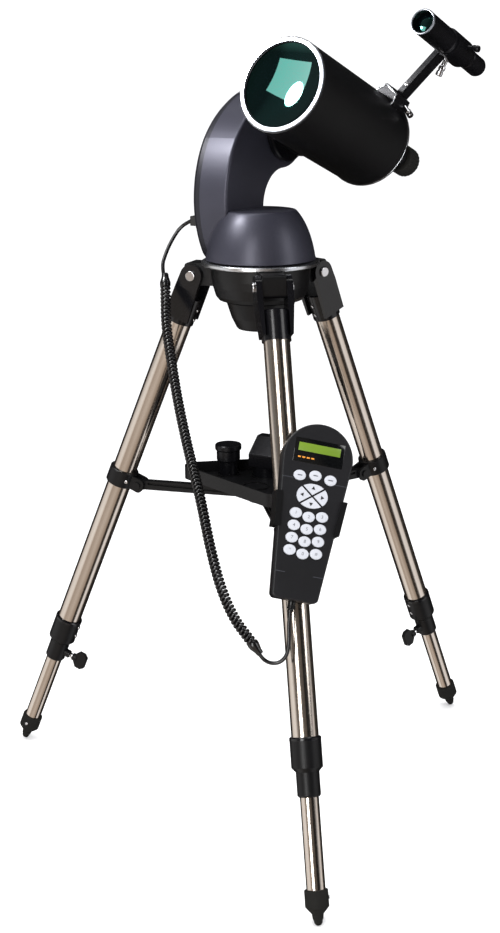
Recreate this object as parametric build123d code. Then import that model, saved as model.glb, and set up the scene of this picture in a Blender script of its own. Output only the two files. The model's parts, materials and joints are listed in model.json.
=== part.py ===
from build123d import *
from math import cos, radians, sin, sqrt, tan
import os

# A catadioptric telescope on a one-arm computer-driven mount and a folding tripod.
# Millimetres and degrees.  +Z is up.  The origin is on the floor, under the middle of the whole outline.

# ---------------------------------------------------------------- driving dimensions: place of the tripod
AXIS_X = 0.0            # the azimuth axis, from the origin
AXIS_Y = 89.22
RUN = 0.05              # radial clearance of a running fit
SEAT = 0.02             # radial clearance of a tube in its socket
AIR = 0.4               # gap between faces that move past each other

# ---------------------------------------------------------------- driving dimensions: tripod
LEG_AZIMUTHS = {"front": -90.0, "right": 30.0, "left": 150.0}
HINGE_RADIUS = 85.0
SPLAY = 22.44
LEG_LENGTH = 737.6      # hinge pin to the tip of the foot
TIP_RADIUS = 5.0
HINGE_HEIGHT = TIP_RADIUS + (LEG_LENGTH - TIP_RADIUS) * cos(radians(SPLAY))
TUBE_R = 31.75 / 2
TUBE_WALL = 1.2
INNER_R = 11.0
INNER_WALL = 1.0
PIN_R = 4.0
EAR_R = 14.0
EAR_INNER = 14.8        # half the gap between a casting's ears
EAR_OUTER = 22.2
SOCKET_R = 17.7
SOCKET_TOP = -29.0      # along the leg, from the hinge pin
SOCKET_BOTTOM = -66.0
COLLAR_TOP = -527.4
COLLAR_STEP = -563.0
COLLAR_BOTTOM = -594.1
COLLAR_R = 18.3
COLLAR_LOWER_R = 13.65
LOCK_Z = -580.0
LOCK_SCREW_R = 3.0
BOOT_TOP = -697.4
BOOT_R = 13.75
CLAMP_Z = -296.0
CLAMP_HEIGHT = 22.0
CLAMP_R = 19.2
CLAMP_PIN_X = -27.0
CLAMP_PIN_R = 3.0
INNER_TUBE_TOP = -300.0

# ---------------------------------------------------------------- driving dimensions: hub, brace and tray
BOWL_BOTTOM = 655.0
BOWL_TOP = 697.4
KNOB_BOTTOM = 618.0
PLATE_BOTTOM = 697.4
PLATE_TOP = 703.0
PLATE_R = 73.1
SPINDLE_R = 12.0
SPINDLE_TOP = 728.0
BOLT_R = 5.0
BRACE_INNER_R = 34.0    # where the arms end, short of the brace hub
BRACE_INNER_Z = 402.0
BRACE_HUB_R = 19.0
ARM_WIDTH = 10.0
ARM_HEIGHT = 12.0
TRAY_BOTTOM = 415.0
TRAY_FLOOR = 418.0
TRAY_RIM = 432.0
TRAY_CORNER = 122.0     # corner radius of the tray's triangle before rounding
TRAY_ROUND = 16.0
TRAY_WALL = 3.0

# ---------------------------------------------------------------- driving dimensions: mount head
# Head frame: X away from the arm, Y towards the back of the optical tube, Z up, on the azimuth axis.
HEAD_YAW = -43.95
DOME_PROFILE = [(68.0, 704.5), (66.5, 716.0), (63.5, 728.0), (59.0, 740.0), (53.0, 751.5),
                (47.0, 760.0), (44.5, 763.5)]
DOME_WALL = 4.0
ARM_OUTER = -72.0
ARM_SEAM = -60.0
ARM_INNER = -20.0
ARM_WALL = 5.0
ALT_Y = 84.0            # the altitude axis
ALT_Z = 858.0
ARM_HEAD_R = 50.0
SHAFT_R = 10.0

# ---------------------------------------------------------------- driving dimensions: optical tube
# Tube frame: origin on the altitude axis, X as in the head frame, Y to the rear along the tube.
ALTITUDE = 20.7
TUBE_X = 68.0
TUBE_RISE = 4.2         # optical axis above the altitude axis
FRONT_Y = -151.2
RIM_Y = 61.8
OTA_R = 57.0
OTA_WALL = 1.5
FRONT_RING_R = 56.0
APERTURE_R = 51.0
LENS_CURVE = 150.0
LENS_THICK = 7.0
MIRROR_R = 52.5
MIRROR_Y = 36.0
BAFFLE_R = 12.0
FOCUS_X = 39.0
FOCUS_Z = -15.0
FOCUS_R = 18.5
FOCUS_END = 98.8
EYEPIECE_BORE_R = 15.9
BACK_R = 20.0
BACK_END = 92.0
SADDLE_R = 42.0
FINDER_ANGLE = 38.0
FINDER_RISE = 153.0
FINDER_FRONT = -25.0
FINDER_R = 15.5
STALK_Y = 47.5

# ---------------------------------------------------------------- driving dimensions: hand controller
# Controller frame: X to the right, Y towards its round top, Z out of its face, in front of the front leg.
HANDSET_TURN = -13.8
HANDSET_SIDE = 8.84
HANDSET_DOWN = -298.17
HANDSET_OUT = 48.0
HANDSET_DEPTH = 25.6
FRONT_DEPTH = 12.0
HANDSET_WALL = 2.4
HANDSET_TOP_R = 41.0
HANDSET_TOP_Y = 87.0
HANDSET_END = -76.0
HANDSET_END_HALF = 26.5
WINDOW = (58.0, 28.0)
WINDOW_Y = 94.5
KEY_SIZE = (14.4, 12.0)
KEY_GAP = 0.35
KEY_PROUD = 1.2
KEY_DEEP = 4.0
MENU_PITCH = 18.0
MENU_Y = 65.4
MENU_LIFT = 2.3
PAD_SIZE = (36.0, 28.0)
PAD_Y = 44.0
NUMBER_PITCH = (15.3, 14.2)
NUMBER_Y = 22.3
NUMBER_DROP = 2.4
HOLDER_PLATE = 2.5
GRIP_LOW = 4.0
GRIP_HIGH = 44.0

# -------------------------------------------------------- driving dimensions: cord, from the azimuth axis
WIRE_DIAMETER = 4.6
CURL_DIAMETER = 13.6
PLUG_SIDE = 12.0
PLUG_Y = -27.0          # on the arm's outer face, in the head frame
PLUG_Z = 749.0
LEAD_TOP = [(-79.2, 38.9, 749.0), (-91.0, 47.0, 743.0), (-103.0, 46.0, 727.0), (-113.0, 41.0, 709.0),
            (-119.5, 34.0, 692.0), (-116.0, 26.0, 677.0)]
CURL = [(-116.0, 26.0, 677.0), (-117.0, 16.0, 654.0), (-119.0, 0.0, 626.0), (-116.5, -25.0, 589.0),
        (-113.0, -60.0, 542.0), (-106.0, -105.0, 489.0), (-99.0, -150.0, 448.0), (-94.0, -190.0, 400.0),
        (-86.0, -222.0, 357.0), (-73.5, -243.0, 327.0), (-62.0, -254.0, 312.0), (-52.5, -261.0, 299.0)]
LEAD_LOW = [(-52.0, -261.4, 298.1), (-47.4, -265.5, 288.1), (-37.5, -269.5, 281.5), (-25.5, -272.5, 283.2),
            (-17.5, -273.0, 293.5), (-15.2, -269.5, 311.0), (-14.6, -263.2, 329.1), (-11.4, -258.1, 341.7)]


# ---------------------------------------------------------------- helpers
def turned(profile):
    """Solid of revolution about Z from (radius, height) points."""
    outline = Polyline(*[(r, 0, z) for r, z in profile], close=True)
    return revolve(make_face(outline), Axis.Z)


def block(low, high):
    """Box between two corners."""
    size = [b - a for a, b in zip(low, high)]
    middle = [(a + b) / 2 for a, b in zip(low, high)]
    return Pos(*middle) * Box(*size)


def rod_z(radius, low, high, x=0.0, y=0.0):
    """Round bar along Z."""
    return Pos(x, y, (low + high) / 2) * Cylinder(radius, high - low)


def rod_x(radius, low, high, y=0.0, z=0.0):
    """Round bar along X."""
    return Pos((low + high) / 2, y, z) * Rot(0, 90, 0) * Cylinder(radius, high - low)


def rod_y(radius, low, high, x=0.0, z=0.0):
    """Round bar along Y."""
    return Pos(x, (low + high) / 2, z) * Rot(90, 0, 0) * Cylinder(radius, high - low)


def turned_y(profile, x=0.0, z=0.0):
    """Solid of revolution about an axis along Y from (radius, y) points."""
    return Pos(x, 0, z) * Rot(-90, 0, 0) * turned(profile)


def leg_place(name):
    """Frame of a leg: Z up along the leg from its hinge pin, X away from the tripod."""
    return Rot(0, 0, LEG_AZIMUTHS[name]) * Pos(HINGE_RADIUS, 0, HINGE_HEIGHT) * Rot(0, -SPLAY, 0)


HEAD = Rot(0, 0, HEAD_YAW)
TUBE = HEAD * Pos(TUBE_X, ALT_Y, ALT_Z) * Rot(-ALTITUDE, 0, 0)
TRIPOD = Pos(AXIS_X, AXIS_Y, 0)

nodes = {}


def keep(name, shape, place=None):
    """Put a sub-part in the shared frame under its node's name."""
    nodes[name] = TRIPOD * (shape if place is None else place * shape)


# ---------------------------------------------------------------- legs
def leg_cap():
    """Casting at the top of a leg: two ears on the hinge pin and a socket for the tube."""
    ear_low = SOCKET_BOTTOM + 6
    across = Polygon((-EAR_OUTER, 16), (EAR_OUTER, 16), (EAR_OUTER, -18), (SOCKET_R + 0.6, ear_low),
                     (-SOCKET_R - 0.6, ear_low), (-EAR_OUTER, -18), align=None)
    front_view = Pos(-30, 0, 0) * extrude(Plane.YZ * across, 60, dir=(1, 0, 0))
    along = Polygon((-EAR_R, 0), (EAR_R, 0), (SOCKET_R - 1.2, ear_low),
                    (-SOCKET_R + 1.2, ear_low), align=None)
    side_view = Pos(0, 30, 0) * extrude(Plane.XZ * along, 60, dir=(0, -1, 0))
    side_view += rod_y(EAR_R, -30, 30)
    ears = front_view & side_view
    ears -= block((-30, -EAR_INNER, ear_low - 5), (30, EAR_INNER, 30))
    socket = rod_z(SOCKET_R, SOCKET_BOTTOM, SOCKET_TOP)
    socket = chamfer(socket.edges().group_by(Axis.Z)[-1], 1.5)
    body = ears + socket
    body -= rod_z(TUBE_R + SEAT, SOCKET_BOTTOM - 1, SOCKET_TOP - 4)
    return body - rod_y(PIN_R + RUN, -30, 30)


def leg_tube():
    """Outer tube of a leg."""
    outer = rod_z(TUBE_R, COLLAR_STEP + 1, SOCKET_TOP - 4)
    return outer - rod_z(TUBE_R - TUBE_WALL, COLLAR_STEP, SOCKET_TOP)


def lock_collar():
    """Stepped collar at the foot of the outer tube, bored to guide the inner tube."""
    body = turned([(0, COLLAR_TOP), (COLLAR_R - 1, COLLAR_TOP), (COLLAR_R, COLLAR_TOP - 1),
                   (COLLAR_R, COLLAR_STEP + 2),
                   (COLLAR_LOWER_R, COLLAR_STEP - 3), (COLLAR_LOWER_R, COLLAR_BOTTOM + 2),
                   (COLLAR_LOWER_R - 1.5, COLLAR_BOTTOM), (0, COLLAR_BOTTOM)])
    body += rod_x(5.6, -19.5, 0, z=LOCK_Z)
    body -= rod_z(TUBE_R + SEAT, COLLAR_STEP + 1, COLLAR_TOP + 1)
    body -= rod_z(INNER_R + RUN, COLLAR_BOTTOM - 1, COLLAR_TOP)
    return body - rod_x(LOCK_SCREW_R + RUN, -25, 0, z=LOCK_Z)


def lock_knob():
    """Wing screw that clamps the inner tube."""
    screw = rod_x(LOCK_SCREW_R, -30, -INNER_R - AIR, z=LOCK_Z)
    boss = rod_x(5.2, -31, -25, z=LOCK_Z)
    wing = Polygon((-27, 4.5), (-33, 12.5), (-41, 12.5), (-46, 8), (-46, -8), (-41, -12.5),
                   (-33, -12.5), (-27, -4.5),
                   align=None)
    blade = Pos(0, 3, LOCK_Z) * extrude(Plane.XZ * wing, 6, dir=(0, -1, 0))
    blade = chamfer(blade.edges().filter_by(Axis.Y, reverse=True), 0.8)
    return screw + boss + blade


def brace_clamp():
    """Ring round the outer tube with a fork that holds the brace arm's pin."""
    body = rod_z(CLAMP_R, CLAMP_Z - CLAMP_HEIGHT / 2, CLAMP_Z + CLAMP_HEIGHT / 2)
    body = chamfer(body.edges(), 0.8)
    fork = block((-35.5, -9.5, CLAMP_Z - 9), (-10, 9.5, CLAMP_Z + 9))
    fork = fillet(fork.edges().filter_by(Axis.Y).group_by(Axis.X)[0], 6)
    body += fork
    slot = block((-40, -ARM_WIDTH / 2 - AIR, CLAMP_Z - 15),
                 (-CLAMP_R + 0.1, ARM_WIDTH / 2 + AIR, CLAMP_Z + 15))
    body -= slot
    body -= rod_z(TUBE_R + SEAT, CLAMP_Z - 20, CLAMP_Z + 20)
    pin = rod_y(CLAMP_PIN_R, -9.5, 9.5, x=CLAMP_PIN_X, z=CLAMP_Z)
    heads = rod_y(4.6, 9.5, 11.6, x=CLAMP_PIN_X, z=CLAMP_Z) + rod_y(4.6, -11.6, -9.5, x=CLAMP_PIN_X,
                                                                    z=CLAMP_Z)
    return body + pin + heads


def inner_tube():
    """Sliding inner tube of a leg."""
    outer = rod_z(INNER_R, BOOT_TOP - 12, INNER_TUBE_TOP)
    return outer - rod_z(INNER_R - INNER_WALL, BOOT_TOP - 13, INNER_TUBE_TOP + 1)


def foot_boot():
    """Rubber boot with a tapered, rounded tip."""
    tip = -LEG_LENGTH + TIP_RADIUS
    body = turned([(0, BOOT_TOP), (BOOT_R - 0.8, BOOT_TOP), (BOOT_R, BOOT_TOP - 0.8), (BOOT_R, BOOT_TOP - 19),
                   (10.5, BOOT_TOP - 23), (6.8, BOOT_TOP - 27), (6.2, tip + 3), (TIP_RADIUS, tip), (0, tip)])
    body += Pos(0, 0, tip) * Sphere(TIP_RADIUS)
    return body - rod_z(INNER_R + SEAT, BOOT_TOP - 12, BOOT_TOP + 1)


def brace_arm():
    """Bar from a clamp's pin to the brace hub, in the leg's upright plane: X is the radius."""
    s = radians(SPLAY)
    pin_x = HINGE_RADIUS + CLAMP_PIN_X * cos(s) - CLAMP_Z * sin(s)
    pin_z = HINGE_HEIGHT + CLAMP_PIN_X * sin(s) + CLAMP_Z * cos(s)
    half = ARM_HEIGHT / 2
    side = Polygon((BRACE_INNER_R, BRACE_INNER_Z - half), (pin_x, pin_z - half), (pin_x, pin_z + half),
                   (BRACE_INNER_R, BRACE_INNER_Z + half), align=None)
    bar = Pos(0, ARM_WIDTH / 2, 0) * extrude(Plane.XZ * side, ARM_WIDTH, dir=(0, -1, 0))
    bar += rod_y(half, -ARM_WIDTH / 2, ARM_WIDTH / 2, x=pin_x, z=pin_z)
    groove = block((BRACE_INNER_R + 12, 2.2, BRACE_INNER_Z - 2.6), (pin_x - 14, 9, BRACE_INNER_Z + 0.6))
    bar -= groove
    bar -= groove.mirror(Plane.XZ)
    return bar - rod_y(CLAMP_PIN_R + RUN, -9, 9, x=pin_x, z=pin_z)


for leg in LEG_AZIMUTHS:
    keep(leg + "_leg_cap", leg_cap(), leg_place(leg))
    keep(leg + "_leg_tube", leg_tube(), leg_place(leg))
    keep(leg + "_lock_collar", lock_collar(), leg_place(leg))
    keep(leg + "_lock_knob", lock_knob(), leg_place(leg))
    keep(leg + "_brace_clamp", brace_clamp(), leg_place(leg))
    keep(leg + "_inner_tube", inner_tube(), leg_place(leg))
    keep(leg + "_foot_boot", foot_boot(), leg_place(leg))
    keep(leg + "_brace_arm", brace_arm(), Rot(0, 0, LEG_AZIMUTHS[leg]))


# ---------------------------------------------------------------- hub, fixing knob and base plate
def hub_casting():
    """Bowl with three lugs, open below, with a roof that the fixing bolt passes through."""
    bowl = turned([(0, BOWL_TOP), (62, BOWL_TOP), (61, 682), (59.5, 672), (56, 660), (52, BOWL_BOTTOM),
                   (0, BOWL_BOTTOM)])
    for azimuth in LEG_AZIMUTHS.values():
        low = HINGE_HEIGHT - 12.5
        lug = block((40, -EAR_INNER + AIR, low), (HINGE_RADIUS + 11.5, EAR_INNER - AIR, BOWL_TOP))
        lug = fillet(lug.edges().filter_by(Axis.Y).group_by(Axis.X)[-1], 5)
        lug -= rod_y(PIN_R, -30, 30, x=HINGE_RADIUS, z=HINGE_HEIGHT)
        bowl += Rot(0, 0, azimuth) * lug
    bowl -= rod_z(44, BOWL_BOTTOM - 1, BOWL_TOP - 7)
    return bowl - rod_z(BOLT_R + 1, BOWL_BOTTOM, BOWL_TOP + 1)


def pivot_bolts():
    """Three shouldered bolts, one through each lug and its casting's ears."""
    bolts = None
    for azimuth in LEG_AZIMUTHS.values():
        bolt = rod_y(PIN_R, -EAR_OUTER - 1, EAR_OUTER + 1)
        head = rod_y(6.4, EAR_OUTER + 0.2, EAR_OUTER + 2.8)
        head = fillet(head.edges().sort_by(Axis.Y)[-1], 1.2)
        bolt += head
        bolt += head.mirror(Plane.XZ)
        bolt = Rot(0, 0, azimuth) * Pos(HINGE_RADIUS, 0, HINGE_HEIGHT) * bolt
        bolts = bolt if bolts is None else bolts + bolt
    return bolts


def fixing_knob():
    """Tapered, fluted knob under the hub, with the bolt that holds the mount down."""
    body = turned([(0, BOWL_BOTTOM - AIR), (42, BOWL_BOTTOM - AIR), (43, BOWL_BOTTOM - 3),
                   (36.5, KNOB_BOTTOM + 14),
                   (30.5, KNOB_BOTTOM + 2), (28.5, KNOB_BOTTOM), (0, KNOB_BOTTOM)])
    for step in range(12):
        flute = Pos(43.5, 0, BOWL_BOTTOM - 14) * Rot(0, 17, 0) * Cylinder(3.4, 60)
        body -= Rot(0, 0, 15 + step * 30) * flute
    body += rod_z(BOLT_R, BOWL_BOTTOM - 5, PLATE_TOP - 1)
    return body


def base_plate():
    """Fixed plate of the mount: a bright round plate with the azimuth spindle on it."""
    plate = rod_z(PLATE_R, PLATE_BOTTOM, PLATE_TOP)
    plate = fillet(plate.edges(), 1.6)
    plate += rod_z(SPINDLE_R, PLATE_TOP - 1, SPINDLE_TOP)
    return plate - rod_z(BOLT_R + RUN, PLATE_BOTTOM - 1, PLATE_TOP)


keep("hub_casting", hub_casting())
keep("pivot_bolts", pivot_bolts())
keep("fixing_knob", fixing_knob())
keep("base_plate", base_plate())


# ---------------------------------------------------------------- brace hub, tray and what stands in it
def tray_outline(inset):
    """Triangle with rounded corners that point at the legs."""
    corner = TRAY_CORNER - 2 * inset
    points = [(corner * cos(radians(a)), corner * sin(radians(a))) for a in LEG_AZIMUTHS.values()]
    face = Polygon(*points, align=None)
    return fillet(face.vertices(), TRAY_ROUND - inset)


def accessory_tray():
    """Shallow triangular tray with a round boss under it."""
    body = Pos(0, 0, TRAY_BOTTOM) * extrude(tray_outline(0), TRAY_RIM - TRAY_BOTTOM, dir=(0, 0, 1))
    body -= Pos(0, 0, TRAY_FLOOR) * extrude(tray_outline(TRAY_WALL), TRAY_RIM - TRAY_BOTTOM, dir=(0, 0, 1))
    for x, y, radius in ((12.0, 28.0, 20.0), (-37.0, 42.0, 14.0), (-12.0, -22.0, 16.0)):
        lip = rod_z(radius + 1.2, TRAY_FLOOR - 1, TRAY_FLOOR + 1.6, x, y) - rod_z(radius, TRAY_FLOOR - 2,
                                                                                  TRAY_RIM, x, y)
        body += lip
    return body


def brace_hub():
    """Round hub under the tray where the three arms meet."""
    body = rod_z(BRACE_HUB_R, BRACE_INNER_Z - 9, TRAY_BOTTOM)
    return fillet(body.edges().group_by(Axis.Z)[0], 3)


def eyepiece():
    """Eyepiece standing in the tray: chromed barrel, body and cap."""
    low = TRAY_FLOOR
    return turned([(0, low), (11.6, low), (11.6, low + 18), (14.6, low + 19.5), (15.3, low + 21),
                   (15.3, low + 33),
                   (16.6, low + 34), (17.2, low + 35), (17.2, low + 40), (16.2, low + 41.2), (0, low + 41.2)])


def star_diagonal():
    """Prism diagonal standing on its eyepiece holder: two round sockets and a slanting roof."""
    low = TRAY_FLOOR
    holder = rod_z(19, low, low + 26)
    holder = chamfer(holder.edges(), 1)
    roof = Polygon((-19, low + 13), (19, low + 13), (19, low + 51), (4, low + 51),
                   (-19, low + 31), align=None)
    prism = Pos(0, 17, 0) * extrude(Plane.XZ * roof, 34, dir=(0, -1, 0))
    prism = fillet(prism.edges().filter_by(Axis.Y), 2.5)
    nose = rod_x(EYEPIECE_BORE_R - 0.03, 17, 42, z=low + 32)
    return holder + prism + nose


keep("accessory_tray", accessory_tray())
keep("brace_hub", brace_hub())
keep("eyepiece", eyepiece(), Pos(-37, 42, 0))
keep("star_diagonal", star_diagonal(), Pos(12, 28, 0) * Rot(0, 0, 50))


# ---------------------------------------------------------------- mount head
def arm_face():
    """Side outline of the arm, as (y, z): a hooked arm that ends in a round head."""
    top = (ALT_Y, ALT_Z + ARM_HEAD_R)
    low = (ALT_Y, ALT_Z - ARM_HEAD_R)
    inside = 46.0
    turn = inside * sqrt(0.5)
    foot = 704.5
    front = ThreePointArc((-25, foot), (-44, 775), (-21, 850))
    crown = ThreePointArc((-21, 850), (22, 889), top)
    head = ThreePointArc(top, (ALT_Y + ARM_HEAD_R, ALT_Z), low)
    hook = ThreePointArc(low, (ALT_Y - turn, ALT_Z - ARM_HEAD_R - inside + turn), (ALT_Y - inside, 762))
    back = Line((ALT_Y - inside, 762), (34, foot))
    base = Line((34, foot), (-25, foot))
    return make_face(front + crown + head + hook + back + base)


def arm_prism(low, high, inset=0.0):
    """The arm's outline as a solid between two x values."""
    face = arm_face()
    if inset:
        face = offset(face, -inset)
    return Pos(low, 0, 0) * extrude(Plane.YZ * face, high - low, dir=(1, 0, 0))


def arm_shell():
    """Hollow casting of the arm, open on its outer side."""
    body = arm_prism(ARM_SEAM, ARM_INNER)
    body = fillet(body.faces().sort_by(Axis.X)[-1].outer_wire().edges(), 3.0)
    body -= arm_prism(ARM_SEAM - 1, ARM_INNER - 6, ARM_WALL)
    body += rod_x(20, ARM_INNER - 20, ARM_INNER - 6, y=ALT_Y, z=ALT_Z)
    return body - rod_x(SHAFT_R + RUN, -80, 0, y=ALT_Y, z=ALT_Z)


def arm_cover():
    """Outer cover of the arm, with bevelled edges and a socket for the controller's plug."""
    body = arm_prism(ARM_OUTER, ARM_SEAM)
    body = chamfer(body.faces().sort_by(Axis.X)[0].outer_wire().edges(), 6.0, 4.5)
    body -= arm_prism(ARM_OUTER + 3, ARM_SEAM + 1, ARM_WALL + 4)
    return body


def azimuth_housing():
    """Domed shell that turns on the spindle."""
    inner = [(r - DOME_WALL, z) for r, z in DOME_PROFILE]
    inner[-1] = (DOME_PROFILE[-1][0] - DOME_WALL, DOME_PROFILE[-1][1] - DOME_WALL)
    body = turned([(0, 704.5)] + DOME_PROFILE + [(0, DOME_PROFILE[-1][1])])
    body -= turned([(0, 703.5), (DOME_PROFILE[0][0] - DOME_WALL, 703.5)] + inner + [(0, inner[-1][1])])
    body += rod_z(20, 706, 762) - rod_z(SPINDLE_R + RUN, 700, 734)
    return body - arm_prism(ARM_OUTER - 5, ARM_INNER)


keep("arm_shell", arm_shell(), HEAD)
keep("arm_cover", arm_cover(), HEAD)
keep("azimuth_housing", azimuth_housing(), HEAD)


# ---------------------------------------------------------------- optical tube assembly, in the tube frame
def altitude_saddle():
    """Round clutch plate with its shaft and the jaws that grip the dovetail bar."""
    x0 = ARM_INNER + AIR - TUBE_X
    plate = rod_x(SADDLE_R, x0, x0 + 9)
    plate = chamfer(plate.edges(), 1.5)
    jaws = block((x0 + 8, -32, -27), (x0 + 19, 32, 27 + 2 * TUBE_RISE))
    jaws -= block((x0 + 8, -40, TUBE_RISE - 21.9), (x0 + 30, 40, TUBE_RISE + 21.9))
    shaft = rod_x(SHAFT_R, ARM_SEAM + 16 - TUBE_X, x0 + 1)
    return plate + jaws + shaft


def dovetail_bar():
    """Bar along the tube's side, held by the saddle's jaws."""
    x0 = ARM_INNER + AIR - TUBE_X + 9
    bar = block((x0, -55, TUBE_RISE - 21.7), (-OTA_R + 7, 50, TUBE_RISE + 21.7))
    bar = chamfer(bar.edges().filter_by(Axis.X), 3)
    return bar - rod_y(OTA_R, -100, 100, z=TUBE_RISE)


def optical_tube():
    """Main tube."""
    body = rod_y(OTA_R, FRONT_Y + 2, RIM_Y - 6, z=TUBE_RISE)
    return body - rod_y(OTA_R - OTA_WALL, FRONT_Y, RIM_Y, z=TUBE_RISE)


def front_ring():
    """Bright retaining ring at the front, with a stepped inner edge."""
    profile = [(APERTURE_R, FRONT_Y), (FRONT_RING_R - 0.8, FRONT_Y), (FRONT_RING_R, FRONT_Y + 0.8),
               (FRONT_RING_R, FRONT_Y + 1.8), (OTA_R - OTA_WALL, FRONT_Y + 1.8),
               (OTA_R - OTA_WALL, FRONT_Y + 14),
               (APERTURE_R + 1.5, FRONT_Y + 14), (APERTURE_R + 1.5, FRONT_Y + 4.5),
               (APERTURE_R, FRONT_Y + 4.5)]
    return turned_y(profile, z=TUBE_RISE)


def corrector_lens():
    """Meniscus lens, hollow towards the sky."""
    radius = APERTURE_R + 1.4
    dip = LENS_CURVE - sqrt(LENS_CURVE ** 2 - radius ** 2)
    edge = FRONT_Y + 4.6
    centre = Pos(0, edge + dip - LENS_CURVE, TUBE_RISE)
    shell = centre * Sphere(LENS_CURVE + LENS_THICK) - centre * Sphere(LENS_CURVE)
    return shell & rod_y(radius, edge - 1, edge + dip + LENS_THICK + 1, z=TUBE_RISE)


def rear_cell():
    """Cast cell at the back: rim, back wall, baffle tube, and bosses for the focus shaft and the socket."""
    body = turned_y([(0, RIM_Y - 6), (OTA_R, RIM_Y - 6), (OTA_R + 0.9, RIM_Y - 5), (OTA_R + 0.9, RIM_Y - 1.5),
                     (OTA_R - 0.5, RIM_Y), (OTA_R - 3, RIM_Y + 5), (OTA_R - 9, RIM_Y + 8),
                     (0, RIM_Y + 8)], z=TUBE_RISE)
    body -= rod_y(OTA_R - 5, RIM_Y - 10, RIM_Y + 3, z=TUBE_RISE)
    body += rod_y(BAFFLE_R, -48, RIM_Y + 8, z=TUBE_RISE)
    body += rod_y(29, RIM_Y + 7, RIM_Y + 12, z=TUBE_RISE)
    body += rod_y(12, RIM_Y + 3, RIM_Y + 13, x=FOCUS_X, z=TUBE_RISE + FOCUS_Z)
    body -= rod_y(BAFFLE_R - 1.5, -50, RIM_Y + 20, z=TUBE_RISE)
    return body - rod_y(3 + RUN, RIM_Y, RIM_Y + 20, x=FOCUS_X, z=TUBE_RISE + FOCUS_Z)


def primary_mirror():
    """Mirror on its carrier, bored to slide on the baffle tube."""
    body = turned_y([(BAFFLE_R + RUN, MIRROR_Y - 8), (16, MIRROR_Y - 8), (16, MIRROR_Y - 2),
                     (MIRROR_R, MIRROR_Y - 7),
                     (MIRROR_R, MIRROR_Y + 6), (20, MIRROR_Y + 8), (20, MIRROR_Y + 14),
                     (BAFFLE_R + RUN, MIRROR_Y + 14)],
                    z=TUBE_RISE)
    return body


def focus_knob():
    """Ribbed knob with its shaft."""
    low = RIM_Y + 14
    body = rod_y(FOCUS_R, low, FOCUS_END)
    body = chamfer(body.edges(), 1.6)
    for step in range(24):
        body -= Rot(0, step * 15, 0) * rod_y(1.2, low - 5, FOCUS_END + 5, x=FOCUS_R + 0.3)
    body += rod_y(3, RIM_Y + 0.5, low + 1)
    return Pos(FOCUS_X, 0, TUBE_RISE + FOCUS_Z) * body


def visual_back():
    """Socket for 31.75 mm eyepieces and diagonals."""
    low = RIM_Y + 12
    body = turned_y([(EYEPIECE_BORE_R, low), (BACK_R + 2, low), (BACK_R + 2, low + 5),
                     (BACK_R, low + 6), (BACK_R, BACK_END - 1),
                     (BACK_R - 1, BACK_END), (EYEPIECE_BORE_R, BACK_END)], z=TUBE_RISE)
    return body + rod_z(3.2, TUBE_RISE + BACK_R - 2, TUBE_RISE + BACK_R + 9, y=BACK_END - 7)


keep("altitude_saddle", altitude_saddle(), TUBE)
keep("dovetail_bar", dovetail_bar(), TUBE)
keep("optical_tube", optical_tube(), TUBE)
keep("front_ring", front_ring(), TUBE)
keep("corrector_lens", corrector_lens(), TUBE)
keep("rear_cell", rear_cell(), TUBE)
keep("primary_mirror", primary_mirror(), TUBE)
keep("focus_knob", focus_knob(), TUBE)
keep("visual_back", visual_back(), TUBE)


# ---------------------------------------------------------------- finder, in a frame with Z out from the tube
FINDER = TUBE * Pos(0, 0, TUBE_RISE) * Rot(0, FINDER_ANGLE, 0)
RING_LOW = FINDER_FRONT + 65
RING_HIGH = FINDER_FRONT + 107


def finder_bracket():
    """Dovetail foot, flat stalk and the ring that holds the finder."""
    foot = Polygon((-15.5, 50), (15.5, 50), (15.5, 60), (11, 70), (-11, 70), (-15.5, 60), align=None)
    body = Pos(0, STALK_Y + 7.5, 0) * extrude(Plane.XZ * foot, 34, dir=(0, -1, 0))
    body += block((-3.4, STALK_Y - 9.5, 68), (3.4, STALK_Y + 9.5, FINDER_RISE - 14))
    body += rod_y(17.4, RING_LOW, RING_HIGH, z=FINDER_RISE)
    body -= rod_y(FINDER_R + SEAT, RING_LOW - 20, RING_HIGH + 1, z=FINDER_RISE)
    return body - rod_y(OTA_R, -80, 120)


def finder_scope():
    """Small finder telescope: front tube, waist and eyepiece."""
    y0 = FINDER_FRONT
    body = turned_y([(0, y0 + 10), (13.6, y0 + 10), (13.6, y0), (FINDER_R - 0.4, y0),
                     (FINDER_R, y0 + 1), (FINDER_R, y0 + 109),
                     (13.5, y0 + 112), (11.6, y0 + 114), (11.6, y0 + 122), (12.4, y0 + 123), (12.4, y0 + 154),
                     (11.2, y0 + 157), (8.5, y0 + 157), (8.5, y0 + 152), (0, y0 + 152)], z=FINDER_RISE)
    return body


keep("finder_bracket", finder_bracket(), FINDER)
keep("finder_scope", finder_scope(), FINDER)


# ---------------------------------------------------------------- hand controller
CONTROLLER = (leg_place("front") * Pos(HANDSET_OUT, HANDSET_SIDE, HANDSET_DOWN)
              * Location(Plane(origin=(0, 0, 0), x_dir=(0, 1, 0), z_dir=(1, 0, 0))) * Rot(0, 0, HANDSET_TURN))


def controller_face(inset=0.0):
    """Outline of the controller: round at the top, tapering to its lower end."""
    half = HANDSET_TOP_R - inset
    end = HANDSET_END + inset
    end_half = HANDSET_END_HALF - inset
    top = ThreePointArc((-half, HANDSET_TOP_Y), (0, HANDSET_TOP_Y + half), (half, HANDSET_TOP_Y))
    right = Line((half, HANDSET_TOP_Y), (end_half, end))
    bottom = Line((end_half, end), (-end_half, end))
    left = Line((-end_half, end), (-half, HANDSET_TOP_Y))
    face = make_face(top + right + bottom + left)
    return fillet(face.vertices().group_by(Axis.Y)[0], 6 - inset)


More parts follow.
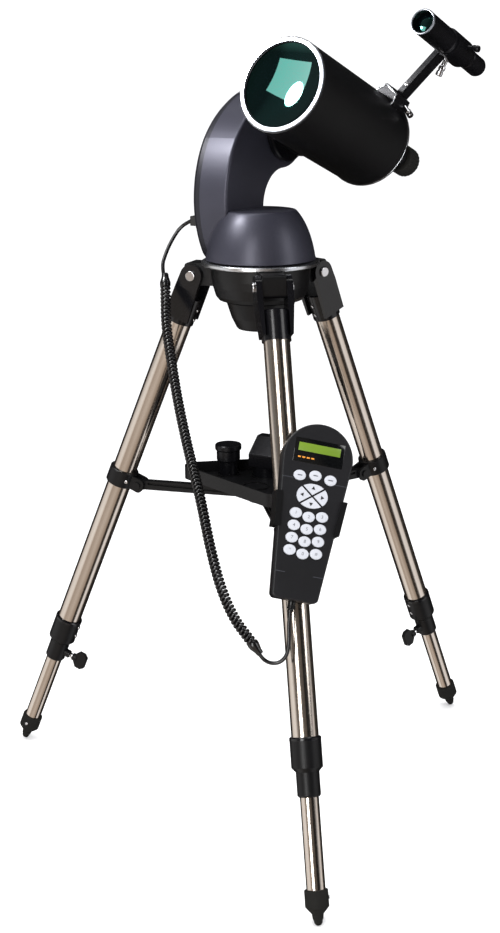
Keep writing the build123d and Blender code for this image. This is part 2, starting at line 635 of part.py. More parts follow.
def controller_slab(low, high, inset=0.0):
    """The controller's outline as a solid between two depths."""
    return Pos(0, 0, low) * extrude(controller_face(inset), high - low, dir=(0, 0, 1))


def key_post(x, y, grow=0.0, low=-KEY_DEEP, high=KEY_PROUD):
    """Oval key."""
    oval = Ellipse(KEY_SIZE[0] / 2 + grow, KEY_SIZE[1] / 2 + grow)
    return Pos(x, y, low) * extrude(oval, high - low, dir=(0, 0, 1))


def pad_quarter(quarter, grow=0.0, low=-KEY_DEEP, high=KEY_PROUD):
    """One key of the four-way pad: a quarter of an oval between two crossing gaps."""
    oval = Ellipse(PAD_SIZE[0] / 2 + grow, PAD_SIZE[1] / 2 + grow)
    reach = 40.0
    gap = 1.3 - grow
    slope = PAD_SIZE[1] / PAD_SIZE[0]
    if quarter in ("right", "left"):
        wedge = Polygon((gap / slope, 0), (reach, (reach - gap / slope) * slope),
                        (reach, -(reach - gap / slope) * slope),
                        align=None)
    else:
        wedge = Polygon((0, gap), (reach, gap + reach * slope), (-reach, gap + reach * slope), align=None)
    if quarter == "left":
        wedge = Rot(0, 0, 180) * wedge
    if quarter == "down":
        wedge = Rot(0, 0, 180) * wedge
    return Pos(0, PAD_Y, low) * extrude(oval & wedge, high - low, dir=(0, 0, 1))


MENU_KEYS = [(-MENU_PITCH, MENU_Y), (0, MENU_Y + MENU_LIFT), (MENU_PITCH, MENU_Y)]
NUMBER_KEYS = [(NUMBER_PITCH[0] * column,
                NUMBER_Y - NUMBER_PITCH[1] * row - (NUMBER_DROP if column == 0 else 0))
               for row in range(4) for column in (-1, 0, 1)]
PAD_KEYS = ("up", "right", "down", "left")


def controller_front():
    """Front shell with the holes for the keys and a recess for the display."""
    body = controller_slab(-FRONT_DEPTH, 0)
    body = fillet(body.faces().sort_by(Axis.Z)[-1].outer_wire().edges(), 2.2)
    body -= controller_slab(-FRONT_DEPTH - 1, -HANDSET_WALL, HANDSET_WALL)
    for x, y in MENU_KEYS + NUMBER_KEYS:
        body -= key_post(x, y, KEY_GAP, -6, 4)
    for quarter in PAD_KEYS:
        body -= pad_quarter(quarter, KEY_GAP, -6, 4)
    return body - block((-WINDOW[0] / 2, WINDOW_Y - WINDOW[1] / 2, -6),
                        (WINDOW[0] / 2, WINDOW_Y + WINDOW[1] / 2, 4))


def controller_back():
    """Back shell, with the strain relief at its lower end."""
    body = controller_slab(-HANDSET_DEPTH, -FRONT_DEPTH)
    body = chamfer(body.faces().sort_by(Axis.Z)[0].outer_wire().edges(), 3.0)
    body -= controller_slab(-HANDSET_DEPTH + HANDSET_WALL, -FRONT_DEPTH + 1, HANDSET_WALL + 0.6)
    body += rod_y(4.2, HANDSET_END - 9, HANDSET_END + 1, z=-18)
    return body


def display():
    """Display module: dark window with the screen behind it."""
    return block((-WINDOW[0] / 2, WINDOW_Y - WINDOW[1] / 2, -4),
                 (WINDOW[0] / 2, WINDOW_Y + WINDOW[1] / 2, -0.4))


def controller_holder():
    """Bracket on the front leg that grips the controller on both sides."""
    back = -HANDSET_DEPTH - AIR
    plate = block((-39, GRIP_LOW, back - HOLDER_PLATE), (39, GRIP_HIGH, back))
    body = plate
    for side in (-1, 1):
        def edge(y):
            """Half the controller's width at a height, and a running gap."""
            share = (y - HANDSET_END) / (HANDSET_TOP_Y - HANDSET_END)
            return HANDSET_END_HALF + (HANDSET_TOP_R - HANDSET_END_HALF) * share + AIR
        wall = Polygon((side * edge(GRIP_LOW), GRIP_LOW), (side * (edge(GRIP_LOW) + 4), GRIP_LOW),
                       (side * (edge(GRIP_HIGH) + 4), GRIP_HIGH),
                       (side * edge(GRIP_HIGH), GRIP_HIGH), align=None)
        lip = Polygon((side * (edge(GRIP_LOW) - 3), GRIP_LOW), (side * (edge(GRIP_LOW) + 4), GRIP_LOW),
                      (side * (edge(GRIP_HIGH) + 4), GRIP_HIGH),
                      (side * (edge(GRIP_HIGH) - 3), GRIP_HIGH), align=None)
        body += Pos(0, 0, AIR) * extrude(lip, 2.4, dir=(0, 0, 1))
        body += Pos(0, 0, back - HOLDER_PLATE) * extrude(wall, HOLDER_PLATE - back + AIR + 1, dir=(0, 0, 1))
    return body


def holder_band():
    """Band of the holder round the leg's outer tube."""
    band = rod_z(CLAMP_R, -279, -262) + block((10, -11, -279), (CLAMP_R + 0.2, 11, -262))
    return band - rod_z(TUBE_R + SEAT, -290, -250)


holder = CONTROLLER * controller_holder() + leg_place("front") * holder_band()
keep("controller_holder", holder)
keep("controller_front", controller_front(), CONTROLLER)
keep("controller_back", controller_back(), CONTROLLER)
keep("display", display(), CONTROLLER)
for quarter in PAD_KEYS:
    keep("key_" + quarter, pad_quarter(quarter), CONTROLLER)
menu_keys = key_post(*MENU_KEYS[0])
for place in MENU_KEYS[1:]:
    menu_keys += key_post(*place)
keep("menu_keys", menu_keys, CONTROLLER)
number_keys = key_post(*NUMBER_KEYS[0])
for place in NUMBER_KEYS[1:]:
    number_keys += key_post(*place)
keep("number_keys", number_keys, CONTROLLER)


# ---------------------------------------------------------------- cord, from the azimuth axis
def corner_radii(points):
    """Arc radius at each inner point: 0.45 of the shorter run over the tangent of half the turn."""
    radii = []
    for before, here, after in zip(points, points[1:], points[2:]):
        run_in = Vector(*here) - Vector(*before)
        run_out = Vector(*after) - Vector(*here)
        half_turn = radians(run_in.get_angle(run_out)) / 2
        radii.append(0.45 * min(run_in.length, run_out.length) / tan(half_turn))
    return radii


def cord_tube(name, points, diameter):
    """Round tube along straight runs joined by tangent arcs."""
    radii = corner_radii(points)
    print(name, "arc radii", [round(r, 1) for r in radii])
    path = FilletPolyline(*points, radius=radii)
    start = path @ 0
    heading = path % 0
    section = Plane(origin=start, z_dir=heading) * Circle(diameter / 2)
    tube = sweep(section, path=path)
    print(name, "length", round(path.length, 1), "volume ratio",
          round(tube.volume / (section.area * path.length), 3))
    return tube


half = PLUG_SIDE / 2
plug = block((ARM_OUTER - PLUG_SIDE, PLUG_Y - half, PLUG_Z - half), (ARM_OUTER, PLUG_Y + half, PLUG_Z + half))
keep("cord_plug", chamfer(plug.edges().group_by(Axis.X)[0], 1.5), HEAD)
keep("cord_curl", cord_tube("cord_curl", CURL, CURL_DIAMETER))
keep("cord_lead_top", cord_tube("cord_lead_top", LEAD_TOP, WIRE_DIAMETER))
nodes["cord_lead_top"] -= nodes["cord_curl"] + nodes["cord_plug"]
keep("cord_lead_low", cord_tube("cord_lead_low", LEAD_LOW, WIRE_DIAMETER))
nodes["cord_lead_low"] -= nodes["cord_curl"] + nodes["controller_back"]


if __name__ == "__main__":
    os.makedirs("parts", exist_ok=True)
    for name, shape in nodes.items():
        export_step(shape, "parts/" + name + ".step")
    print(len(nodes), "nodes")
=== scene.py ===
"""Looks of a small catadioptric telescope on a one-arm mount and a folding steel tripod."""

import json
import logging
import math
from dataclasses import dataclass, field
from enum import Enum
from typing import Iterable, Optional, Sequence

import bpy
from mathutils import Matrix, Vector

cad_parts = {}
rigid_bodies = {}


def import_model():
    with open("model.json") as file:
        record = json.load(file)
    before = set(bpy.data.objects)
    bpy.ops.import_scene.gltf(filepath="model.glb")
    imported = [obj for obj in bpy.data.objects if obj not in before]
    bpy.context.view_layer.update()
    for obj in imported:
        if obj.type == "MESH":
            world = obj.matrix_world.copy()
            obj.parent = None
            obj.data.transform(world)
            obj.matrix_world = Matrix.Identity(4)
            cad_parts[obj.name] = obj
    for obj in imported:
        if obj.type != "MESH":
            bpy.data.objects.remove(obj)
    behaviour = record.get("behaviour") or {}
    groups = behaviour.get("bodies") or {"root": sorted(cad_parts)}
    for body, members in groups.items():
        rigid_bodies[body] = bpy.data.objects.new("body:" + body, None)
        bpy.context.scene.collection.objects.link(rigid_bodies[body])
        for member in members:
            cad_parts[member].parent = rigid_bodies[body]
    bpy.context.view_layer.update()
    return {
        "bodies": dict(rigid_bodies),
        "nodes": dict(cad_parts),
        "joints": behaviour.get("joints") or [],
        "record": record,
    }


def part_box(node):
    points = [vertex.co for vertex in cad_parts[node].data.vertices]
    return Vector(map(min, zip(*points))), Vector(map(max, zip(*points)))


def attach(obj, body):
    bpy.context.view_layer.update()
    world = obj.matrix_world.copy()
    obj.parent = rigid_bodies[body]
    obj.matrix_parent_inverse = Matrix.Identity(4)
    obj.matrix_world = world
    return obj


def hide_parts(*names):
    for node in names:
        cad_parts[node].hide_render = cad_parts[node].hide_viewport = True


LOG = logging.getLogger("telescope")
MM = 0.001
Point = tuple[float, float, float]


# ------------------------------------------------------------------ colours and nodes
def linear(code: str) -> tuple[float, float, float, float]:
    """Turn an sRGB hex colour to linear.

    Args:
        code: Six hex digits, such as "1c1c1e".

    Returns:
        The linear colour with an alpha of 1.
    """
    parts = [int(code[i:i + 2], 16) / 255 for i in (0, 2, 4)]
    red, green, blue = (c / 12.92 if c <= 0.04045 else ((c + 0.055) / 1.055) ** 2.4 for c in parts)
    return (red, green, blue, 1.0)


def add_node(tree: bpy.types.NodeTree, kind: str, settings: Optional[dict] = None,
             links: Optional[dict] = None) -> bpy.types.Node:
    """Add a node with its settings and its incoming links.

    Args:
        tree: The node tree.
        kind: The node's type name.
        settings: Values by property name, or by input name or number.
        links: Output sockets by input name or number.

    Returns:
        The new node.
    """
    node = tree.nodes.new(kind)
    for key, value in (settings or {}).items():
        if isinstance(key, str) and hasattr(node, key):
            setattr(node, key, value)
        else:
            node.inputs[key].default_value = value
    for key, socket in (links or {}).items():
        tree.links.new(socket, node.inputs[key])
    return node


def blank_material(name: str) -> tuple[bpy.types.Material, bpy.types.NodeTree, bpy.types.NodeSocket]:
    """An empty material, its tree and its object coordinates."""
    material = bpy.data.materials.new(name)
    material.use_nodes = True
    tree = material.node_tree
    tree.nodes.clear()
    return material, tree, add_node(tree, "ShaderNodeTexCoord").outputs["Object"]


@dataclass(frozen=True)
class Finish:
    """A surface finish: its base, its fine grain and its slow variation.

    The grain is in millimetres on the surface and drives both the bump and the roughness.
    """

    name: str
    colour: str
    tint: str
    roughness: float
    metallic: float = 0.0
    grain_mm: float = 0.6
    bump: float = 0.1
    spread: float = 0.08
    patch_mm: float = 40.0
    coat: float = 0.0
    coat_roughness: float = 0.1
    ior: float = 1.5
    specular: float = 0.5
    stretch: Point = (1.0, 1.0, 1.0)

    def build(self) -> bpy.types.Material:
        """Make the material."""
        material, tree, place = blank_material(self.name)
        mapped = add_node(tree, "ShaderNodeMapping", {"Scale": self.stretch},
                          {"Vector": place}).outputs["Vector"]
        grain = add_node(tree, "ShaderNodeTexNoise", {"Scale": 1000 / self.grain_mm, "Detail": 3.0},
                         {"Vector": mapped}).outputs["Fac"]
        patch = add_node(tree, "ShaderNodeTexNoise", {"Scale": 1000 / self.patch_mm, "Detail": 4.0},
                         {"Vector": place}).outputs["Fac"]
        colour = add_node(tree, "ShaderNodeMix",
                          {"data_type": "RGBA", 6: linear(self.colour), 7: linear(self.tint)},
                          {0: patch}).outputs[2]
        rough = add_node(tree, "ShaderNodeMapRange",
                         {"From Min": 0.3, "From Max": 0.7,
                          "To Min": max(0.02, self.roughness - self.spread),
                          "To Max": self.roughness + self.spread}, {"Value": grain}).outputs["Result"]
        bump = add_node(tree, "ShaderNodeBump",
                        {"Strength": self.bump, "Distance": self.grain_mm * MM * 0.3},
                        {"Height": grain}).outputs["Normal"]
        shader = add_node(tree, "ShaderNodeBsdfPrincipled",
                          {"Metallic": self.metallic, "IOR": self.ior, "Specular IOR Level": self.specular,
                           "Coat Weight": self.coat, "Coat Roughness": self.coat_roughness},
                          {"Base Color": colour, "Roughness": rough, "Normal": bump})
        add_node(tree, "ShaderNodeOutputMaterial", {}, {"Surface": shader.outputs["BSDF"]})
        return material


@dataclass(frozen=True)
class ClearFinish:
    """Coated optical glass: nearly black, with coloured reflections."""

    name: str
    colour: str
    roughness: float
    coat_tint: str

    def build(self) -> bpy.types.Material:
        """Make the material."""
        material, tree, place = blank_material(self.name)
        bloom = add_node(tree, "ShaderNodeTexNoise", {"Scale": 14.0, "Detail": 2.0},
                         {"Vector": place}).outputs["Fac"]
        rough = add_node(tree, "ShaderNodeMapRange",
                         {"To Min": self.roughness, "To Max": self.roughness * 1.6},
                         {"Value": bloom}).outputs["Result"]
        shader = add_node(tree, "ShaderNodeBsdfPrincipled",
                          {"Base Color": linear(self.colour), "IOR": 1.9,
                           "Specular Tint": linear(self.coat_tint),
                           "Coat Weight": 0.25, "Coat Roughness": 0.01},
                          {"Roughness": rough})
        add_node(tree, "ShaderNodeOutputMaterial", {}, {"Surface": shader.outputs["BSDF"]})
        return material


class Finishes(Enum):
    """Every finish of the telescope, by what it is made of."""

    # Die-cast aluminium with black stove enamel: sharp highlights with a faint orange peel.
    ENAMEL = Finish("stove_enamel_black", "060608", "0c0c0f", 0.2, grain_mm=1.6, bump=0.05, spread=0.05,
                    specular=0.35, coat=0.15)
    # Polished stainless tube: mirror-like across, with a fine drawn grain along it.
    STAINLESS = Finish("stainless_polished", "dcd3ca", "c9bdb2", 0.15, 1.0, 0.8, 0.04, 0.06, 90.0,
                       stretch=(1.0, 1.0, 0.12))
    # Moulded rubber: matt, with worn, dusty patches.
    RUBBER = Finish("rubber_moulded", "0c0c0c", "1b1a17", 0.75, grain_mm=0.7, bump=0.3, specular=0.2)
    # Injection-moulded ABS with a fine spark texture.
    ABS = Finish("abs_black_spark", "060607", "0d0d0f", 0.38, grain_mm=0.45, bump=0.25, specular=0.25)
    # Chromed steel fasteners.
    CHROME = Finish("chrome_steel", "dcdcde", "c6c6ca", 0.09, 1.0, 0.4, 0.02, 0.03, 6.0)
    # Turned and clear-anodised aluminium plate edge.
    PLATE = Finish("aluminium_turned", "d6d8dc", "bfc2c8", 0.24, 1.0, 0.5, 0.08)
    # Metallic dark blue-grey lacquer on the mount: satin, with a visible sparkle of flake.
    LACQUER = Finish("metallic_lacquer", "32323c", "3d3d49", 0.42, 0.6, 0.5, 0.2, 0.1, 60.0, coat=0.15,
                     coat_roughness=0.3)
    # The same lacquer on the arm's moulded outer cover, a shade darker.
    COVER = Finish("metallic_lacquer_dark", "1c1c22", "26262d", 0.38, 0.5, 0.5, 0.22, 0.1, 60.0)
    # Powder-coated tube: near black, soft sheen.
    POWDER = Finish("powder_coat_black", "050506", "0a0a0c", 0.38, grain_mm=0.55, bump=0.25, specular=0.3)
    # Hard black anodising on turned parts.
    ANODISED = Finish("anodised_black", "0e0e11", "17171b", 0.26, 0.6, 0.4, 0.06)
    # Bright silver lacquered ring at the tube's front.
    SILVER = Finish("silver_ring", "a0a4ac", "8e929a", 0.24, 0.9, 0.4, 0.06, 0.05)
    # Aluminised glass.
    MIRROR = Finish("mirror_aluminised", "e8ecf0", "dfe4ea", 0.03, 1.0, 1.0, 0.0, 0.01)
    # Moulded charcoal ABS of the hand controller.
    CASE = Finish("abs_charcoal_spark", "101012", "19191c", 0.4, grain_mm=0.5, bump=0.22, specular=0.3)
    # Silicone key caps, a slightly grey white.
    KEY = Finish("silicone_white", "b2b4ba", "a6a8af", 0.45, grain_mm=0.8, bump=0.06)
    # Acrylic window over the display.
    WINDOW = Finish("acrylic_black", "060708", "0a0b0c", 0.06, grain_mm=3.0, bump=0.0, spread=0.02,
                    coat=0.6)
    # Yellow-green liquid-crystal panel.
    LCD = Finish("lcd_yellow_green", "64801a", "587214", 0.35, grain_mm=0.5, bump=0.02, coat=0.5)
    # Amber print on the window.
    AMBER = Finish("print_amber", "d98a1c", "c87a12", 0.5, grain_mm=0.5, bump=0.02)
    # Grey print on keys.
    PRINT = Finish("print_grey", "3c3e46", "30323a", 0.6, grain_mm=0.4, bump=0.02)
    # Black print.
    INK = Finish("print_black", "121214", "1a1a1c", 0.55, grain_mm=0.4, bump=0.02)
    # PVC cord jacket: smooth, with a waxy sheen.
    PVC = Finish("pvc_jacket_black", "050506", "0a0a0c", 0.2, grain_mm=1.2, bump=0.04, specular=0.6)
    # Coated corrector and finder lenses: nearly black, with green-blue reflections.
    GLASS = ClearFinish("coated_glass", "020406", 0.02, "35d6c2")
    # Pale studio floor.
    FLOOR = Finish("studio_paper", "ffffff", "fdfdfe", 0.85, grain_mm=3.0, bump=0.02)


_BUILT: dict[Finishes, bpy.types.Material] = {}


def dress(piece: bpy.types.Object, finish: Finishes) -> None:
    """Give a piece one finish.

    Args:
        piece: The object.
        finish: Which finish.
    """
    if finish not in _BUILT:
        _BUILT[finish] = finish.value.build()
    piece.data.materials.clear()
    piece.data.materials.append(_BUILT[finish])


def dress_all(nodes: dict, finish: Finishes, *names: str) -> None:
    """Give CAD nodes one finish."""
    for name in names:
        dress(nodes[name], finish)


# ------------------------------------------------------------------ modelling by operators
def clear_selection() -> None:
    """Deselect every object."""
    for chosen in list(bpy.context.selected_objects):
        chosen.select_set(False)
    bpy.context.view_layer.objects.active = None


def finish_mesh(name: str, piece: bpy.types.Object, smooth: float = 35.0) -> bpy.types.Object:
    """Name a piece, turn its faces outwards and smooth it by angle.

    Args:
        name: The piece's name.
        piece: The object, which is active and selected.
        smooth: Edges sharper than this many degrees stay sharp.

    Returns:
        The same object.
    """
    piece.name = name
    piece.data.name = name
    bpy.ops.object.transform_apply(location=True, rotation=True, scale=True)
    bpy.ops.object.mode_set(mode="EDIT")
    bpy.ops.mesh.select_all(action="SELECT")
    bpy.ops.mesh.remove_doubles(threshold=1e-7)
    bpy.ops.mesh.normals_make_consistent(inside=False)
    bpy.ops.object.mode_set(mode="OBJECT")
    bpy.ops.object.shade_smooth_by_angle(angle=math.radians(smooth))
    return piece


def bevelled(piece: bpy.types.Object, width_mm: float, segments: int = 2, angle: float = 30.0) -> None:
    """Round a piece's sharp edges with an applied bevel.

    Args:
        piece: The active object.
        width_mm: The bevel's width.
        segments: How many steps.
        angle: Only edges sharper than this many degrees.
    """
    modifier = piece.modifiers.new("edge", "BEVEL")
    modifier.width = width_mm * MM
    modifier.segments = segments
    modifier.limit_method = "ANGLE"
    modifier.angle_limit = math.radians(angle)
    bpy.ops.object.modifier_apply(modifier=modifier.name)


def turned(name: str, profile: Sequence[tuple[float, float]], sides: int = 48,
           place: Matrix = Matrix.Identity(4), hollow: bool = False) -> bpy.types.Object:
    """Turn a piece about Z from a circle that is extruded ring by ring.

    Args:
        name: The piece's name.
        profile: (radius, height) pairs in millimetres, along the outline.
        sides: How many sides each ring has.
        place: Where the piece goes.
        hollow: Whether the outline goes round a ring and closes on its first point.

    Returns:
        The new piece.
    """
    clear_selection()
    radius, height = profile[0]
    outline = [*profile[1:], profile[0]] if hollow else profile[1:]
    bpy.ops.mesh.primitive_circle_add(vertices=sides, radius=radius * MM,
                                      fill_type="NOTHING" if hollow else "NGON",
                                      location=(0, 0, height * MM))
    piece = bpy.context.object
    bpy.ops.object.transform_apply(location=True)
    bpy.ops.object.mode_set(mode="EDIT")
    bpy.ops.mesh.select_mode(type="VERT")
    bpy.ops.mesh.select_all(action="SELECT")
    for next_radius, next_height in outline:
        bpy.ops.mesh.extrude_region_move(
            TRANSFORM_OT_translate={"value": (0, 0, (next_height - height) * MM)})
        scale = next_radius / radius
        bpy.ops.transform.resize(value=(scale, scale, 1), center_override=(0, 0, next_height * MM))
        radius, height = next_radius, next_height
    bpy.ops.object.mode_set(mode="OBJECT")
    finish_mesh(name, piece)
    piece.data.transform(place)
    return piece


def slab(name: str, size: Point, centre: Point, place: Matrix = Matrix.Identity(4), bevel: float = 0.5,
         taper: float = 1.0) -> bpy.types.Object:
    """Make a block with rounded edges, its top face scaled by a taper.

    Args:
        name: The piece's name.
        size: Lengths along X, Y and Z in millimetres.
        centre: Its centre in millimetres.
        place: Where the piece goes.
        bevel: Edge rounding in millimetres.
        taper: Scale of the top face.

    Returns:
        The new piece.
    """
    clear_selection()
    bpy.ops.mesh.primitive_cube_add(size=1, location=[c * MM for c in centre], scale=[s * MM for s in size])
    piece = bpy.context.object
    bpy.ops.object.transform_apply(location=True, rotation=True, scale=True)
    bpy.ops.object.mode_set(mode="EDIT")
    bpy.ops.mesh.select_mode(type="FACE")
    bpy.ops.mesh.select_all(action="DESELECT")
    bpy.ops.object.mode_set(mode="OBJECT")
    top = max(piece.data.polygons, key=lambda face: face.center.z)
    top.select = True
    bpy.ops.object.mode_set(mode="EDIT")
    bpy.ops.transform.resize(value=(taper, taper, 1), center_override=[c * MM for c in centre])
    bpy.ops.mesh.select_all(action="SELECT")
    bpy.ops.object.mode_set(mode="OBJECT")
    bevelled(piece, bevel)
    finish_mesh(name, piece)
    piece.data.transform(place)
    return piece


def joined(name: str, pieces: Sequence[bpy.types.Object]) -> bpy.types.Object:
    """Join pieces into one.

    Args:
        name: The joined piece's name.
        pieces: The objects, the first of which stays.

    Returns:
        The joined object.
    """
    clear_selection()
    for piece in pieces:
        piece.select_set(True)
    bpy.context.view_layer.objects.active = pieces[0]
    if len(pieces) > 1:
        bpy.ops.object.join()
    result = bpy.context.object
    result.name = name
    result.data.name = name
    return result


def keep(piece: bpy.types.Object, body: str, finish: Finishes, slot: str, *nodes: str) -> bpy.types.Object:
    """Dress a piece and let it ride on its body.

    Args:
        piece: The object.
        body: The CAD body's name.
        finish: Its finish.
        slot: The record's material slot; not used.
        nodes: CAD nodes that it stands for.

    Returns:
        The same object.
    """
    dress(piece, finish)
    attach(piece, body)
    if nodes:
        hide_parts(*nodes)
    LOG.info("%s rides on %s", piece.name, body)
    return piece


def axes_at(origin: Vector, x: Vector, y: Vector, z: Vector) -> Matrix:
    """Frame from an origin and three axes."""
    turn = Matrix((x.normalized(), y.normalized(), z.normalized())).transposed().to_4x4()
    return Matrix.Translation(origin) @ turn


def facing(origin: Point, direction: Point) -> Matrix:
    """Frame at a point in millimetres whose Z looks along a direction."""
    turn = Vector(direction).to_track_quat("Z", "Y").to_matrix().to_4x4()
    return Matrix.Translation(Vector(origin) * MM) @ turn


# ------------------------------------------------------------------ the frame's own places
@dataclass
class Places:
    """Local frames of the sub-assemblies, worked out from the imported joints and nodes."""

    frame: dict
    joints: dict = field(init=False)
    # Millimetres: from the arm to the tube's plane, and from the controller's origin to its display.
    tube_gap: float = 88.0
    display_rise: float = 94.5
    display_depth: float = 2.2

    def __post_init__(self) -> None:
        """Index the joints by name."""
        self.joints = {joint["name"]: joint for joint in self.frame["joints"]}

    def axis(self, joint: str) -> Vector:
        """A joint's axis."""
        return Vector(self.joints[joint]["axis"])

    def point(self, joint: str) -> Vector:
        """A hinge's point."""
        return Vector(self.joints[joint]["pos_m"])

    def leg(self, side: str) -> Matrix:
        """A leg's frame: Z up along it from its pin, X away from the tripod."""
        up = -self.axis(side + "_leg_extend")
        across = self.axis(side + "_leg_fold")
        return axes_at(self.point(side + "_leg_fold"), across.cross(up), across, up)

    def head(self) -> Matrix:
        """The mount's frame: X away from the arm, Z up, on the azimuth axis at the floor."""
        away = -self.axis("altitude_tilt")
        base = self.point("azimuth_turn")
        up = Vector((0, 0, 1))
        return axes_at(Vector((base.x, base.y, 0)), away, up.cross(away), up)

    def tube(self) -> Matrix:
        """The tube's frame: origin on the altitude axis in the tube's plane, Y to the rear."""
        away = -self.axis("altitude_tilt")
        rear = self.axis("focus_turn")
        return axes_at(self.point("altitude_tilt") + away * self.tube_gap * MM, away, rear, away.cross(rear))

    def controller(self) -> Matrix:
        """The controller's frame: Y towards its round top, Z out of its face."""
        out = -self.axis("key_up_press")
        up = self.axis("controller_lift")
        low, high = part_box("display")
        origin = (low + high) / 2 - up * self.display_rise * MM + out * self.display_depth * MM
        return axes_at(origin, up.cross(out), up, out)


# ------------------------------------------------------------------ studio
@dataclass
class Studio:
    """Camera, floor, soft lights and surroundings."""

    azimuth_axis: Vector
    eye_mm: Point = (-313.0, -1852.0, 965.0)
    yaw: float = 9.13
    pitch: float = 15.67
    roll: float = -0.46
    lens: float = 58.77
    floor_size: float = 60.0
    # Strength of the white backdrop, and of the reflected studio at the horizon and above it.
    backdrop: float = 1.18
    sheen_low: float = 1.15
    sheen_high: float = 0.22
    sheen_top: float = 0.14
    # Colours met going once round the horizon.
    bands: tuple = ((0.0, "fbfaf8"), (0.045, "f0ebe6"), (0.07, "b3a79c"), (0.17, "cdc3b9"),
                    (0.27, "a99b8e"), (0.295, "2a2624"), (0.36, "45403c"), (0.385, "f8f8fa"),
                    (0.47, "e9e6e4"), (0.50, "3a3633"), (0.64, "1c1a1a"), (0.88, "2c2927"),
                    (0.925, "e8e4e0"), (1.0, "f6f4f2"))
    # Soft lights: name, place, aim, size in metres and watts.
    soft_lights: tuple = (("key_left", (-1.35, -2.1, 1.15), (0, 0.05, 0.75), (0.8, 2.0), 38.0),
                          ("fill_right", (2.1, -1.5, 1.6), (0, 0, 0.6), (1.0, 1.6), 16.0),
                          ("top", (0.1, 0.3, 2.6), (0, 0, 0.6), (1.6, 1.6), 20.0))
    # What the corrector mirrors: how far off, size in metres and watts.
    window_reach: float = 0.6
    window_size: tuple = (0.34, 0.24)
    window_watts: float = 1.7
    lamp_reach: float = 0.5
    lamp_size: tuple = (0.12, 0.12)
    lamp_watts: float = 3.2

    def camera(self) -> None:
        """Place the camera."""
        data = bpy.data.cameras.new("camera")
        data.lens = self.lens
        data.sensor_width = 36.0
        data.clip_start = 0.05
        data.clip_end = 60.0
        camera = bpy.data.objects.new("camera", data)
        bpy.context.scene.collection.objects.link(camera)
        turn = (Matrix.Rotation(math.radians(-self.yaw), 4, "Z")
                @ Matrix.Rotation(math.radians(90 - self.pitch), 4, "X")
                @ Matrix.Rotation(math.radians(self.roll), 4, "Z"))
        place = Vector(self.eye_mm) * MM + Vector((self.azimuth_axis.x, self.azimuth_axis.y, 0))
        camera.matrix_world = Matrix.Translation(place) @ turn
        bpy.context.scene.camera = camera

    def floor(self) -> None:
        """Lay a pale floor with its far edge out of sight."""
        clear_selection()
        bpy.ops.mesh.primitive_plane_add(size=self.floor_size, location=(0, 0, 0))
        floor = bpy.context.object
        floor.name = "studio_floor"
        dress(floor, Finishes.FLOOR)
        floor.visible_glossy = False

    def light(self, name: str, place: Point, aim: Point, size: tuple[float, float], power: float,
              shape: str = "RECTANGLE") -> None:
        """Hang one white soft light.

        Args:
            name: Its name.
            place: Where, in metres.
            aim: What it points at, in metres.
            size: Width and height in metres.
            power: Watts.
            shape: RECTANGLE or ELLIPSE.
        """
        data = bpy.data.lights.new(name, "AREA")
        data.shape = shape
        data.size, data.size_y = size
        data.energy = power
        lamp = bpy.data.objects.new(name, data)
        bpy.context.scene.collection.objects.link(lamp)
        look = (Vector(aim) - Vector(place)).to_track_quat("-Z", "Y")
        lamp.matrix_world = Matrix.Translation(Vector(place)) @ look.to_matrix().to_4x4()

    def surroundings(self) -> None:
        """Give the camera a white backdrop, and reflections a studio with dark and tan bands."""
        world = bpy.data.worlds.new("studio")
        bpy.context.scene.world = world
        world.use_nodes = True
        tree = world.node_tree
        tree.nodes.clear()
        way = add_node(tree, "ShaderNodeTexCoord").outputs["Generated"]
        parts = add_node(tree, "ShaderNodeSeparateXYZ", {}, {"Vector": way})
        turn = add_node(tree, "ShaderNodeMath", {"operation": "ARCTAN2"},
                        {0: parts.outputs["Y"], 1: parts.outputs["X"]}).outputs[0]
        share = add_node(tree, "ShaderNodeMapRange", {"From Min": -math.pi, "From Max": math.pi},
                         {"Value": turn}).outputs["Result"]
        ramp = add_node(tree, "ShaderNodeValToRGB", {}, {"Fac": share})
        while len(ramp.color_ramp.elements) < len(self.bands):
            ramp.color_ramp.elements.new(0.5)
        for element, (position, colour) in zip(ramp.color_ramp.elements, self.bands):
            element.position = position
            element.color = linear(colour)
        path = add_node(tree, "ShaderNodeLightPath")
        height = add_node(tree, "ShaderNodeMapRange",
                          {"From Min": 0.0, "From Max": self.sheen_top,
                           "To Min": self.sheen_low, "To Max": self.sheen_high},
                          {"Value": parts.outputs["Z"]})
        sheen = add_node(tree, "ShaderNodeBackground", {},
                         {"Color": ramp.outputs["Color"], "Strength": height.outputs["Result"]})
        plain = add_node(tree, "ShaderNodeBackground",
                         {"Color": linear("fdfdfe"), "Strength": self.backdrop})
        mixed = add_node(tree, "ShaderNodeMixShader", {},
                         {0: path.outputs["Is Glossy Ray"], 1: plain.outputs[0], 2: sheen.outputs[0]})
        add_node(tree, "ShaderNodeOutputWorld", {}, {"Surface": mixed.outputs[0]})

    def lens_window(self, places: "Places") -> None:
        """Hang the window and the brighter lamp that the corrector mirrors to the camera."""
        front = -places.axis("focus_turn")
        low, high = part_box("corrector_lens")
        lens = (low + high) / 2
        view = (bpy.context.scene.camera.matrix_world.translation - lens).normalized()
        mirrored = front * (2 * front.dot(view)) - view
        side = mirrored.cross(Vector((0, 0, 1))).normalized()
        rise = side.cross(mirrored)
        window = lens + mirrored * self.window_reach - rise * 0.05
        self.light("window", window, lens, self.window_size, self.window_watts)
        lamp = lens + mirrored * self.lamp_reach + rise * 0.016 + side * 0.08
        self.light("lamp", lamp, lens, self.lamp_size, self.lamp_watts, shape="ELLIPSE")

